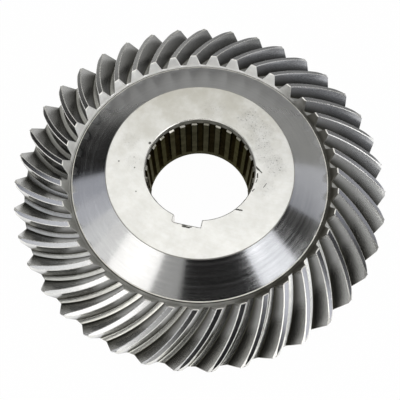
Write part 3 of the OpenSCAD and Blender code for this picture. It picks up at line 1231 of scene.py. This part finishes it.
# panels are placed by the part of the cone that mirrors them into the camera, by its clock angles
studio = {
    "backdrop": (0.985, 0.985, 0.985),   # a low band all round, up to these rises
    "backdropRise": (0.075, 0.110),
    "backdropLower": 0.11,   # by this much lower at the back, which the cone mirrors
    "backReach": (0.2, 0.7),
    "surround": (0.41, 0.41, 0.395),
    "paleSide": (-0.94, -0.34, 0.0),
    "paleReach": (0.80, 0.98),
    "paleSurround": (0.68, 0.68, 0.65),
    "darkSide": (0.30, -0.954, 0.0),
    "darkReach": (0.40, 0.90),
    "darkSurround": (0.17, 0.172, 0.175),
    "overhead": (0.008, 0.008, 0.008),   # the dark above, from a tilted line upwards
    "tilt": (-0.185, 0.05, 1.0),
    "paleTo": 0.31,
    "darkFrom": 0.42,
    "coneSlope": 25.1,
    "coneSpot": (0.080, 0.0505),
    "distance": 1.3,
    "panels": [
        # name, from and to round the cone, length up the slope, radiance, colour
        ("keyPanel", 226.0, 250.0, 0.60, 1.75, (1.0, 0.99, 0.97)),
        ("leftPanel", 216.5, 226.0, 0.70, 1.10, (1.0, 1.0, 0.99)),
        ("leftMiddlePanel", 207.0, 216.5, 0.70, 0.94, (0.99, 1.0, 1.01)),
        ("leftSidePanel", 196.0, 207.0, 0.70, 0.70, (0.95, 0.97, 1.04)),
        ("leftBackPanel", 183.5, 196.0, 0.70, 0.54, (0.93, 0.96, 1.06)),
        ("leftEdgePanel", 250.0, 262.0, 0.70, 0.50, (1.0, 1.0, 0.98)),
        ("flashPanel", 297.0, 317.0, 0.60, 1.22, (0.97, 0.99, 1.04)),
        ("rightPanel", 336.0, 364.0, 0.75, 0.34, (0.95, 0.98, 1.10)),
    ],
    # level panels overhead: name, from and to across the room, radiance, colour
    "overheadPanels": [
        ("ceiling", (-0.56, -0.20), (0.50, 1.05), 1.24, (1.0, 0.995, 0.975)),
        ("ceilingRight", (0.50, -0.55), (0.82, 0.30), 4.4, (1.0, 1.0, 1.0)),
        ("ceilingBack", (-0.94, 0.15), (-0.62, 1.30), 2.0, (1.0, 0.99, 0.95)),
        ("ceilingLeft", (-0.80, -0.60), (-0.52, -0.15), 4.2, (1.0, 1.0, 0.97)),
    ],
    "overheadHeight": 1.35,
    # low panels in front: name, direction, width, height, radiance, colour
    "frontPanels": [
        ("frontPanel", (-0.10, -0.92, 0.40), 1.5, 0.26, 1.7, (1.0, 1.0, 0.97)),
        ("frontRightPanel", (0.76, -0.52, 0.41), 0.9, 0.34, 1.9, (1.0, 1.0, 1.0)),
    ],
}


def mirrored(clock):
    a, s = math.radians(clock), math.radians(studio["coneSlope"])
    radius, level = studio["coneSpot"]
    spot = Vector((radius * math.cos(a), radius * math.sin(a), level))
    normal = Vector((math.sin(s) * math.cos(a), math.sin(s) * math.sin(a), math.cos(s)))
    view = (cameraPlace - spot).normalized()
    return spot, (2 * normal.dot(view) * normal - view).normalized(), normal


def addPanel(name, place, across, out, width, length, radiance, colour):
    lamp = bpy.data.lights.new(name, "AREA")
    lamp.shape = "RECTANGLE"
    lamp.size = width
    lamp.size_y = length
    lamp.energy = radiance * math.pi * width * length
    lamp.color = colour
    panel = bpy.data.objects.new(name, lamp)
    scene.collection.objects.link(panel)
    turn = Matrix((across, out.cross(across), out)).transposed()
    panel.matrix_world = Matrix.Translation(place) @ turn.to_4x4()


for name, clockFrom, clockTo, length, radiance, colour in studio["panels"]:
    ends = []
    for clock in (clockFrom, clockTo, (clockFrom + clockTo) / 2):
        spot, out, normal = mirrored(clock)
        ends.append(spot + out * studio["distance"])
    across = ends[1] - ends[0]
    width = across.length
    across = (across - across.dot(out) * out).normalized()
    addPanel(name, ends[2], across, out, width, length, radiance, colour)
for name, low, high, radiance, colour in studio["overheadPanels"]:
    place = Vector(((low[0] + high[0]) / 2, (low[1] + high[1]) / 2, studio["overheadHeight"]))
    width, length = high[0] - low[0], high[1] - low[1]
    addPanel(name, place, Vector((1, 0, 0)), Vector((0, 0, 1)), width, length, radiance, colour)
hubCentre = Vector((0, 0, topZ * mm))
for name, out, width, length, radiance, colour in studio["frontPanels"]:
    out = Vector(out).normalized()
    across = Vector((0, 0, 1)).cross(out).normalized()
    addPanel(name, hubCentre + out * studio["distance"], across, out, width, length, radiance, colour)

world = bpy.data.worlds.new("studio")
scene.world = world
world.use_nodes = True
tree = world.node_tree
coords = tree.nodes.new("ShaderNodeTexCoord")


def towards(direction):
    return vectors(tree, "DOT_PRODUCT", coords.outputs["Generated"], direction)


shade = tint(studio["surround"])
for side in ("pale", "dark"):
    share = between(tree, towards(studio[side + "Side"]), *studio[side + "Reach"])
    shade = mixed(tree, share, shade, tint(studio[side + "Surround"]))
above = greys(tree, towards(studio["tilt"]), [(studio["paleTo"], 0), (studio["darkFrom"], 1)])
shade = mixed(tree, above, shade, tint(studio["overhead"]))
toBack = between(tree, towards((0.0, 1.0, 0.0)), *studio["backReach"])
rise = sums(tree, "MULTIPLY_ADD", toBack, studio["backdropLower"], towards((0.0, 0.0, 1.0)))
bandStart, bandEnd = studio["backdropRise"]
shade = mixed(tree, between(tree, rise, bandEnd, bandStart), shade, tint(studio["backdrop"]))
link(tree, shade, tree.nodes["Background"].inputs["Color"])
print("studio made")
